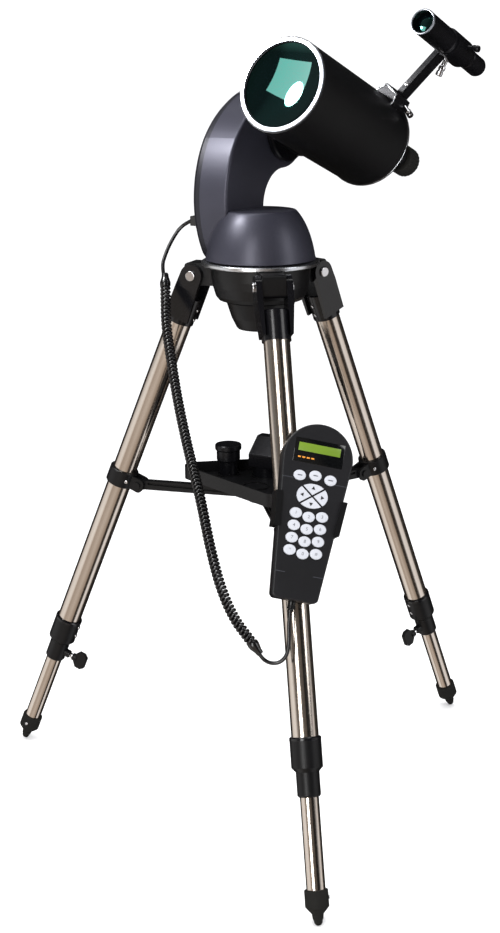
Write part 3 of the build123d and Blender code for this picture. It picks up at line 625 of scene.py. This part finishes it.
    def build(self, places: "Places") -> None:
        """Set up the whole studio."""
        bpy.context.scene.view_settings.view_transform = "Standard"
        self.camera()
        self.lens_window(places)
        self.floor()
        self.surroundings()
        for name, place, aim, size, watts in self.soft_lights:
            self.light(name, place, aim, size, watts)
        LOG.info("studio ready")


# ------------------------------------------------------------------ cord
@dataclass
class Cord:
    """The controller's cord: a thin lead from its plug, a curly part, and a thin lead to the controller."""

    axis: Vector
    wire_mm: float = 4.6
    coil_mm: float = 13.6
    pitch_mm: float = 4.9
    steps: int = 14
    lead_top: tuple = ((-79.2, 38.9, 749.0), (-91.0, 47.0, 743.0), (-103.0, 46.0, 727.0),
                       (-113.0, 41.0, 709.0), (-119.5, 34.0, 692.0), (-116.0, 26.0, 677.0))
    curl: tuple = ((-116.0, 26.0, 677.0), (-117.0, 16.0, 654.0), (-119.0, 0.0, 626.0),
                   (-116.5, -25.0, 589.0), (-113.0, -60.0, 542.0), (-106.0, -105.0, 489.0),
                   (-99.0, -150.0, 448.0), (-94.0, -190.0, 400.0), (-86.0, -222.0, 357.0),
                   (-73.5, -243.0, 327.0), (-62.0, -254.0, 312.0), (-52.5, -261.0, 299.0))
    lead_low: tuple = ((-52.5, -261.0, 299.0), (-47.4, -265.5, 288.1), (-37.5, -269.5, 281.5),
                       (-25.5, -272.5, 283.2), (-17.5, -273.0, 293.5), (-15.2, -269.5, 311.0),
                       (-14.6, -263.2, 329.1), (-11.4, -258.1, 341.7))

    def metres(self, point: Point) -> Vector:
        """A route point in the shared frame."""
        return Vector(point) * MM + Vector((self.axis.x, self.axis.y, 0))

    def route(self, name: str, points: Iterable[Point], bevel_mm: float) -> bpy.types.Object:
        """Make a smooth curve along a route.

        Args:
            name: The curve's name.
            points: Control points in millimetres from the azimuth axis.
            bevel_mm: Radius of its round section, or 0 for a bare line.

        Returns:
            The curve object.
        """
        data = bpy.data.curves.new(name, "CURVE")
        data.dimensions = "3D"
        data.bevel_depth = bevel_mm * MM
        data.bevel_resolution = 4
        data.resolution_u = 12
        data.use_fill_caps = True
        spline = data.splines.new("NURBS")
        places = [self.metres(point) for point in points]
        spline.points.add(len(places) - 1)
        for control, place in zip(spline.points, places):
            control.co = (*place, 1.0)
        spline.order_u = 3
        spline.use_endpoint_u = True
        piece = bpy.data.objects.new(name, data)
        bpy.context.scene.collection.objects.link(piece)
        return piece

    def line_of(self, points: Iterable[Point]) -> list[Vector]:
        """Points read from a route's smooth line."""
        guide = self.route("guide", points, 0.0)
        guide.data.resolution_u = 24
        bpy.context.view_layer.update()
        mesh = bpy.data.meshes.new_from_object(guide)
        line = [vertex.co.copy() for vertex in mesh.vertices]
        bpy.data.meshes.remove(mesh)
        bpy.data.objects.remove(guide)
        return line

    def helix(self) -> list[Vector]:
        """Points along the wire of the curly part, round the route's smooth line."""
        line = self.line_of(self.curl)
        lengths = [0.0]
        for a, b in zip(line, line[1:]):
            lengths.append(lengths[-1] + (b - a).length)
        turns = lengths[-1] / (self.pitch_mm * MM)
        count = int(turns * self.steps)
        radius = (self.coil_mm - self.wire_mm) / 2 * MM
        side = Vector((1, 0, 0))
        result: list[Vector] = []
        index = 0
        for step in range(count + 1):
            reach = lengths[-1] * step / count
            while index < len(line) - 2 and lengths[index + 1] < reach:
                index += 1
            run = line[index + 1] - line[index]
            centre = line[index] + run * ((reach - lengths[index]) / max(run.length, 1e-9))
            heading = run.normalized()
            side = (side - heading * side.dot(heading)).normalized()
            other = heading.cross(side)
            ease = min(1.0, 0.4 + step / self.steps, 0.4 + (count - step) / self.steps)
            angle = 2 * math.pi * step / self.steps
            result.append(centre + (side * math.cos(angle) + other * math.sin(angle)) * radius * ease)
        return result

    def sleeve(self, name: str, at: Vector, heading: Vector) -> bpy.types.Object:
        """Moulded sleeve where the thin lead meets the coil."""
        turn = heading.to_track_quat("Z", "Y").to_matrix().to_4x4()
        profile = [(2.5, -9.0), (3.4, -9.4), (4.2, -8.4), (4.4, -5.0), (5.6, -1.0), (6.6, 2.0), (6.7, 6.0),
                   (5.9, 7.4), (2.5, 7.0)]
        piece = turned(name, profile, 28, Matrix.Translation(at) @ turn, hollow=True)
        return keep(piece, "tripod_head", Finishes.PVC, "cord_black")

    def length(self, line: Sequence[Vector]) -> float:
        """Length of a line of points."""
        return sum((b - a).length for a, b in zip(line, line[1:]))

    def build(self) -> None:
        """Make the three stretches and the two sleeves, and let each ride on its body."""
        top = self.route("handset_lead_top", self.lead_top, self.wire_mm / 2)
        keep(top, "mount", Finishes.PVC, "cord_black", "cord_lead_top")
        self.length(self.line_of(self.lead_top))
        wire = self.helix()
        data = bpy.data.curves.new("curl_wire", "CURVE")
        data.dimensions = "3D"
        data.bevel_depth = self.wire_mm / 2 * MM * 0.96
        data.bevel_resolution = 2
        data.use_fill_caps = True
        spline = data.splines.new("POLY")
        spline.points.add(len(wire) - 1)
        for control, place in zip(spline.points, wire):
            control.co = (*place, 1.0)
        strand = bpy.data.objects.new("curl_wire", data)
        bpy.context.scene.collection.objects.link(strand)
        clear_selection()
        strand.select_set(True)
        bpy.context.view_layer.objects.active = strand
        bpy.ops.object.convert(target="MESH")
        strand = bpy.context.object
        strand.name = "handset_curly_cord"
        bpy.ops.object.shade_smooth()
        keep(strand, "tripod_head", Finishes.PVC, "cord_black", "cord_curl")
        line = self.line_of(self.curl)
        sleeves = [self.sleeve("cord_sleeve_top", line[0], line[1] - line[0]),
                   self.sleeve("cord_sleeve_low", line[-1], line[-2] - line[-1])]
        low = self.route("handset_lead_low", self.lead_low, self.wire_mm / 2)
        keep(low, "controller", Finishes.PVC, "cord_black", "cord_lead_low")
        self.length(self.line_of(self.lead_low))


# ------------------------------------------------------------------ fasteners
@dataclass
class Fasteners:
    """Pan-head screws and thumbscrews, each turned where it sits."""

    sides: int = 24
    thumb_sides: int = 20

    def pan_head(self, name: str, radius: float, place: Matrix) -> bpy.types.Object:
        """Pan-head screw with a round recess.

        Args:
            name: The piece's name.
            radius: Head radius in millimetres.
            place: Frame on the surface, Z outwards.

        Returns:
            The screw.
        """
        profile = [(radius * 0.9, -0.3), (radius, 0.0), (radius, radius * 0.25),
                   (radius * 0.86, radius * 0.5), (radius * 0.6, radius * 0.62),
                   (radius * 0.42, radius * 0.62), (radius * 0.34, radius * 0.2), (0.02, radius * 0.2)]
        return turned(name, profile, self.sides, place)

    def thumb(self, name: str, radius: float, length: float, place: Matrix) -> bpy.types.Object:
        """Long thumbscrew with a ribbed, waisted head."""
        profile = [(radius * 0.7, 0.0), (radius * 0.7, length * 0.4), (radius * 0.9, length * 0.42),
                   (radius, length * 0.47), (radius, length * 0.62), (radius * 0.8, length * 0.66),
                   (radius * 0.8, length * 0.72), (radius, length * 0.76), (radius, length * 0.95),
                   (radius * 0.9, length), (0.02, length)]
        return turned(name, profile, self.thumb_sides, place)


# ------------------------------------------------------------------ tripod
@dataclass
class Tripod:
    """Finishes of the tripod's CAD parts, and its screws and trims."""

    places: Places
    screws: Fasteners
    sides: tuple = ("front", "right", "left")
    # On a leg's inner face: (place, head radius) of the screws in the casting and the collar.
    inner_screws: tuple = (((-17.6, 0, -44), 2.3), ((-17.6, 0, -57), 2.3),
                           ((-18.2, 0, -535), 2.4), ((-18.2, 0, -549), 2.4))
    boot_screw: tuple = (0, 13.7, -707)

    def dress_cad(self, nodes: dict) -> None:
        """Give the CAD parts their finishes."""
        for side in self.sides:
            dress_all(nodes, Finishes.ENAMEL, side + "_leg_cap")
            dress_all(nodes, Finishes.STAINLESS, side + "_leg_tube", side + "_inner_tube")
            dress_all(nodes, Finishes.ABS, side + "_lock_collar", side + "_brace_clamp",
                      side + "_brace_arm", side + "_lock_knob")
            dress_all(nodes, Finishes.RUBBER, side + "_foot_boot")
        dress_all(nodes, Finishes.POWDER, "hub_casting")
        dress_all(nodes, Finishes.CHROME, "pivot_bolts")
        dress_all(nodes, Finishes.PLATE, "base_plate")
        dress_all(nodes, Finishes.ABS, "fixing_knob", "brace_hub", "accessory_tray")
        dress_all(nodes, Finishes.ANODISED, "eyepiece", "star_diagonal")

    def leg_screws(self, side: str) -> None:
        """Screws of one leg, the shank of its lock screw and the lip of its collar."""
        leg = self.places.leg(side)
        heads = [self.screws.pan_head("screw", radius, leg @ facing(spot, (-1, 0, 0)))
                 for spot, radius in self.inner_screws]
        heads += [self.screws.pan_head("screw", 2.6, leg @ facing((-13, y * 14.1, -296), (-0.25, y, 0)))
                  for y in (-1, 1)]
        keep(joined(side + "_leg_screws", heads), side + "_leg", Finishes.CHROME, "bolt_chrome")
        boot = self.screws.pan_head(side + "_boot_screw", 2.3, leg @ facing(self.boot_screw, (0, 1, 0)))
        keep(boot, side + "_lower_leg", Finishes.CHROME, "bolt_chrome")
        shank = turned(side + "_lock_shank", [(3.1, -26.0), (3.4, -24.5), (3.4, -20.5), (3.1, -19.6)], 20,
                       leg @ Matrix.Translation((0, 0, -0.58)) @ Matrix.Rotation(math.radians(90), 4, "Y"))
        keep(shank, side + "_lock", Finishes.CHROME, "bolt_chrome")
        lip = turned(side + "_collar_lip", [(16.2, -527.6), (16.4, -526.6), (17.4, -526.2), (18.5, -527.4),
                                            (18.5, -530.0), (18.2, -530.4)], 48, leg, hollow=True)
        keep(lip, side + "_leg", Finishes.ENAMEL, "casting_black")

    def build(self, nodes: dict) -> None:
        """Dress the tripod and add its small parts."""
        self.dress_cad(nodes)
        for side in self.sides:
            self.leg_screws(side)


# ------------------------------------------------------------------ mount
@dataclass
class Mount:
    """Finishes of the mount, with its domed housing, trims and sockets."""

    places: Places
    screws: Fasteners
    arm_outer: float = -72.0
    altitude: tuple = (84.0, 858.0)
    dome_foot: tuple = (68.0, 704.5)
    dome_swell: tuple = (62.2, 744.0)
    dome_crown: tuple = (44.5, 763.5)
    dome_steps: int = 24
    cover_screws: tuple = ((-32, 775), (-27, 732), (-24, 826), (20, 724), (118, 880), (118, 836))
    plug: tuple = (-27, 749)

    def dome(self) -> None:
        """Domed housing: a lip at its foot, a smoothly curved wall and a flat, slightly dished roof."""
        rings = []
        for step in range(self.dome_steps + 1):
            t = step / self.dome_steps
            rings.append(tuple((1 - t) ** 2 * a + 2 * t * (1 - t) * b + t * t * c
                               for a, b, c in zip(self.dome_foot, self.dome_swell, self.dome_crown)))
        foot, crown = self.dome_foot, self.dome_crown
        outline = [(foot[0] - 4, foot[1]), (foot[0] - 0.6, foot[1]), (foot[0] + 0.3, foot[1] + 0.8),
                   *rings[1:], (crown[0] - 1.0, crown[1] + 0.7), (crown[0] - 2.5, crown[1] + 1.0),
                   (crown[0] - 4.5, crown[1] + 0.9), (0.5, crown[1] + 0.7)]
        housing = turned("azimuth_dome", outline, 128, self.places.head())
        keep(housing, "mount", Finishes.LACQUER, "mount_paint", "azimuth_housing")

    def build(self, nodes: dict) -> None:
        """Dress the mount and add its details."""
        dress(nodes["arm_shell"], Finishes.LACQUER)
        self.dome()
        dress(nodes["arm_cover"], Finishes.COVER)
        dress(nodes["cord_plug"], Finishes.PVC)
        head = self.places.head()
        y, z = self.altitude
        out = head @ facing((self.arm_outer, y, z), (-1, 0, 0))
        cap = turned("altitude_cap", [(33, -0.2), (33, 0.6), (31.5, 1.6), (29, 1.8), (28, 1.0), (26, 1.0),
                                      (25, 2.0), (12, 2.6), (0.05, 2.8)], 64, out)
        keep(cap, "mount", Finishes.COVER, "mount_paint")
        heads = [self.screws.pan_head("screw", 2.6, head @ facing((self.arm_outer, a, b), (-1, 0, 0)))
                 for a, b in self.cover_screws]
        keep(joined("arm_cover_screws", heads), "mount", Finishes.CHROME, "bolt_chrome")
        socket = slab("plug_socket", (16, 16, 1.6), (0, 0, 0.3),
                      head @ facing((self.arm_outer, *self.plug), (-1, 0, 0)), 0.5)
        keep(socket, "mount", Finishes.ABS, "mount_paint")


# ------------------------------------------------------------------ optics
@dataclass
class Optics:
    """Finishes of the optical tube, and its lens cells, finder and thumbscrews."""

    places: Places
    screws: Fasteners
    rise: float = 4.2
    front: float = -151.2
    rim: float = 61.8
    finder_angle: float = 38.0
    finder_rise: float = 153.0
    finder_front: float = -25.0
    finder_length: float = 157.0
    finder_clamp: float = 92.0
    finder_grooves: tuple = (-60, -63)
    # Outline of the finder's shoe across the tube, and where it starts along it.
    shoe: tuple = ((-14.2, 52), (-14.2, 60), (-10.2, 68.6), (10.2, 68.6), (14.2, 60), (14.2, 52),
                   (-14.2, 52))
    shoe_front: float = 20.7
    cell_circle: float = 42.0

    def dress_cad(self, nodes: dict) -> None:
        """Give the CAD parts their finishes."""
        dress_all(nodes, Finishes.ANODISED, "altitude_saddle", "dovetail_bar", "finder_bracket",
                  "visual_back", "finder_scope")
        dress_all(nodes, Finishes.POWDER, "optical_tube", "rear_cell")
        dress(nodes["front_ring"], Finishes.SILVER)
        dress(nodes["corrector_lens"], Finishes.GLASS)
        dress(nodes["primary_mirror"], Finishes.MIRROR)
        dress(nodes["focus_knob"], Finishes.RUBBER)

    def along(self, place: Point) -> Matrix:
        """Frame in the tube whose Z looks to the front, at a place in millimetres."""
        return self.places.tube() @ facing(place, (0, -1, 0))

    def finder(self) -> None:
        """Bright ring, lenses and thumbscrews of the finder."""
        place = (self.places.tube() @ Matrix.Translation((0, 0, self.rise * MM))
                 @ Matrix.Rotation(math.radians(self.finder_angle), 4, "Y"))
        nose = place @ facing((0, self.finder_front, self.finder_rise), (0, -1, 0))
        ring = turned("finder_ring", [(13.7, 0.1), (13.9, 0.9), (14.6, 1.1), (15.4, 0.9), (15.7, 0.2),
                                      (15.7, -1.2), (15.3, -1.4), (13.9, -0.6)], 48, nose, hollow=True)
        keep(ring, "telescope", Finishes.SILVER, "ring_silver")
        lens = turned("finder_lens", [(13.5, -9.6), (13.4, -8.8), (10, -7.2), (5, -6.2), (0.05, -5.9)], 40,
                      nose)
        keep(lens, "telescope", Finishes.GLASS, "lens_glass")
        back = place @ facing((0, self.finder_front + self.finder_length, self.finder_rise), (0, 1, 0))
        eye = turned("finder_eye_lens", [(8.4, -4.9), (8.0, -3.6), (4, -3.0), (0.05, -2.8)], 32, back)
        keep(eye, "telescope", Finishes.GLASS, "lens_glass")
        clamp = self.finder_front + self.finder_clamp
        down = place @ facing((0, clamp, self.finder_rise - 17), (0.35, 0, -1))
        keep(self.screws.thumb("finder_screw_low", 4.4, 21, down), "telescope", Finishes.CHROME,
             "bolt_chrome")
        up = place @ facing((12, clamp, self.finder_rise + 12), (1, 0, 0.6))
        keep(self.screws.thumb("finder_screw_high", 4.2, 15, up), "telescope", Finishes.ANODISED,
             "anodised_black")
        shoe = place @ facing((15, 47, 63), (1, 0, -0.15))
        keep(self.screws.thumb("finder_shoe_screw", 4.0, 16, shoe), "telescope", Finishes.CHROME,
             "bolt_chrome")
        edges = []
        for (x0, z0), (x1, z1) in zip(self.shoe, self.shoe[1:]):
            lean = math.degrees(math.atan2(z1 - z0, x1 - x0))
            middle = Matrix.Translation(((x0 + x1) / 2 * MM, self.shoe_front * MM, (z0 + z1) / 2 * MM))
            reach = math.hypot(x1 - x0, z1 - z0)
            edges.append(slab("edge", (reach + 1.4, 1.0, 1.7), (0, 0, 0),
                              place @ middle @ Matrix.Rotation(math.radians(-lean), 4, "Y"), 0.3))
        keep(joined("shoe_edges", edges), "telescope", Finishes.PLATE, "plate_silver")
        stalk = self.screws.pan_head("stalk_screw", 3.0, place @ facing((0, 38, 84), (0, -1, 0)))
        keep(stalk, "telescope", Finishes.CHROME, "bolt_chrome")
        grooves = [turned("groove", [(15.4, y), (15.9, y - 0.2), (15.9, y - 1.6), (15.4, y - 1.8)], 48,
                          nose, hollow=True) for y in self.finder_grooves]
        keep(joined("finder_ribs", grooves), "telescope", Finishes.ANODISED, "anodised_black")

    def cell(self) -> None:
        """Step inside the front ring, the rear rim line and the rear cell's screws."""
        nose = self.along((0, self.front, self.rise))
        step = turned("lens_step", [(51.2, -4.4), (50.2, -4.2), (50.2, -3.0), (51.0, -2.6)], 96, nose,
                      hollow=True)
        keep(step, "telescope", Finishes.ANODISED, "anodised_black")
        line = turned("rim_line", [(57.0, 0), (58.1, 0.4), (58.1, 1.4), (57.0, 1.8)], 96,
                      self.places.tube() @ facing((0, self.rim - 4.6, self.rise), (0, 1, 0)), hollow=True)
        keep(line, "telescope", Finishes.PLATE, "plate_silver")
        back = self.places.tube() @ facing((0, self.rim + 8, self.rise), (0, 1, 0))
        spots = [(self.cell_circle * math.cos(angle), self.cell_circle * math.sin(angle))
                 for angle in map(math.radians, (90, 210, 330))]
        heads = [self.screws.pan_head("screw", 2.4, back @ Matrix.Translation((x * MM, y * MM, 0)))
                 for x, y in spots]
        keep(joined("rear_cell_screws", heads), "telescope", Finishes.CHROME, "bolt_chrome")

    def build(self, nodes: dict) -> None:
        """Dress the optics and add their details."""
        self.dress_cad(nodes)
        self.cell()
        self.finder()


# ------------------------------------------------------------------ hand controller
@dataclass
class Controller:
    """Keys, display and trims of the hand controller."""

    places: Places
    key: tuple = (7.2, 6.0)
    # Profile of a key whose half width is 1, and the height at which figures are printed.
    key_crown: tuple = ((0.995, -4.0), (1.0, 0.2), (0.98, 0.9), (0.9, 1.35), (0.6, 1.6), (0.3, 1.68),
                        (0.01, 1.7))
    key_print: float = 1.68
    menu: tuple = ((-18.0, 65.4), (0.0, 67.7), (18.0, 65.4))
    number_pitch: tuple = (15.3, 14.2)
    number_top: float = 22.3
    number_drop: float = 2.4
    figures: str = "123456789*0#"
    figure_size: float = 5.2
    pad_centre: float = 44.0
    # Arrows of the pad: name, place from its centre, and turn.
    pad: tuple = (("up", 0, 9.0, 0), ("left", -11.5, 0, 90), ("down", 0, -9.0, 180),
                  ("right", 11.5, 0, -90))
    cord_exit: Point = (0, -79.0, -18)

    def cap(self, name: str, x: float, y: float) -> bpy.types.Object:
        """Oval key with a crowned top."""
        piece = turned(name, self.key_crown, 40)
        shape = Matrix.Diagonal((self.key[0], self.key[1], 1, 1))
        piece.data.transform(self.places.controller() @ Matrix.Translation((x * MM, y * MM, 0)) @ shape)
        return piece

    def glyph(self, text: str, x: float, y: float, size: float) -> bpy.types.Object:
        """A printed figure on a key."""
        clear_selection()
        bpy.ops.object.text_add()
        piece = bpy.context.object
        piece.data.body = text
        piece.data.size = size * MM
        piece.data.extrude = 0.03 * MM
        piece.data.align_x = "CENTER"
        piece.data.align_y = "CENTER"
        bpy.ops.object.convert(target="MESH")
        piece = bpy.context.object
        spot = Matrix.Translation((x * MM, y * MM, self.key_print * MM))
        piece.data.transform(self.places.controller() @ spot)
        return piece

    def keys(self) -> None:
        """Menu keys and number keys with their figures."""
        caps = [self.cap("key", x, y) for x, y in self.menu]
        keep(joined("menu_key_caps", caps), "menu_keys", Finishes.KEY, "key_white", "menu_keys")
        spots = [(self.number_pitch[0] * column,
                  self.number_top - self.number_pitch[1] * row - (self.number_drop if column == 0 else 0))
                 for row in range(4) for column in (-1, 0, 1)]
        caps = [self.cap("key", x, y) for x, y in spots]
        keep(joined("number_key_caps", caps), "number_keys", Finishes.KEY, "key_white", "number_keys")
        marks = [self.glyph(mark, x, y, self.figure_size) for mark, (x, y) in zip(self.figures, spots)]
        keep(joined("number_figures", marks), "number_keys", Finishes.PRINT, "key_white")
        bars = [slab("bar", (5.4, 1.1, 0.12), (x, y, 1.66), self.places.controller(), 0.03)
                for x, y in self.menu]
        keep(joined("menu_marks", bars), "menu_keys", Finishes.PRINT, "key_white")

    def arrows(self) -> None:
        """One printed arrow on each pad key."""
        for name, x, y, turn in self.pad:
            clear_selection()
            bpy.ops.mesh.primitive_cylinder_add(vertices=3, radius=2.6 * MM, depth=0.12 * MM)
            piece = bpy.context.object
            bpy.ops.object.mode_set(mode="EDIT")
            bpy.ops.mesh.select_all(action="SELECT")
            bpy.ops.mesh.bevel(offset=0.1 * MM, affect="EDGES")
            bpy.ops.object.mode_set(mode="OBJECT")
            spot = Matrix.Translation((x * MM, (self.pad_centre + y) * MM, 1.24 * MM))
            place = self.places.controller() @ spot @ Matrix.Rotation(math.radians(turn), 4, "Z")
            finish_mesh("arrow_" + name, piece)
            piece.data.transform(place)
            keep(piece, "key_" + name, Finishes.INK, "key_white")

    def screen(self) -> None:
        """Window, panel and a row of plain amber marks."""
        place = self.places.controller()
        pane = slab("display_window", (58, 28, 1.0), (0, 94.5, -0.4), place, 0.35)
        keep(pane, "controller", Finishes.WINDOW, "display_dark")
        panel = slab("display_panel", (49, 9.6, 0.3), (0, 98.5, 0.12), place, 0.1)
        keep(panel, "controller", Finishes.LCD, "display_dark")
        marks = [slab("mark", (3.4, 1.6, 0.2), (-22 + 5.2 * step, 86.5, 0.16), place, 0.05)
                 for step in range(4)]
        keep(joined("display_marks", marks), "controller", Finishes.AMBER, "display_dark")

    def trims(self) -> None:
        """Parting lines across the front, and the cord's strain relief."""
        place = self.places.controller()
        lines = [slab("line", (14, 0.5, 0.25), (side * 30.5, 61.5, 0.02), place, 0.05) for side in (-1, 1)]
        lines += [slab("line", (11, 0.5, 0.25), (side * 22.0, -46.0, 0.02), place, 0.05)
                  for side in (-1, 1)]
        keep(joined("case_lines", lines), "controller", Finishes.PRINT, "controller_grey")
        relief = turned("strain_relief", [(4.3, -2), (4.3, 1.5), (3.6, 2), (3.6, 3.5), (4.0, 4), (4.0, 5.5),
                                          (3.3, 6), (3.3, 7.5), (3.6, 8), (3.4, 9.5), (2.6, 10),
                                          (2.5, 13)], 24, place @ facing(self.cord_exit, (0, -1, 0)))
        keep(relief, "controller", Finishes.PVC, "cord_black")

    def build(self, nodes: dict) -> None:
        """Dress the controller and add its details."""
        dress(nodes["controller_front"], Finishes.CASE)
        dress_all(nodes, Finishes.ABS, "controller_back", "controller_holder")
        dress(nodes["display"], Finishes.WINDOW)
        dress_all(nodes, Finishes.KEY, "key_up", "key_right", "key_down", "key_left")
        self.keys()
        self.arrows()
        self.screen()
        self.trims()


# ------------------------------------------------------------------ all of it
def main() -> None:
    """Build the studio and every sub-assembly in order."""
    logging.basicConfig(level=logging.INFO)
    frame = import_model()
    places = Places(frame)
    screws = Fasteners()
    axis = places.point("azimuth_turn")
    Studio(axis).build(places)
    Cord(axis).build()
    Tripod(places, screws).build(frame["nodes"])
    Mount(places, screws).build(frame["nodes"])
    Optics(places, screws).build(frame["nodes"])
    Controller(places).build(frame["nodes"])


if __name__ == "__main__":
    main()
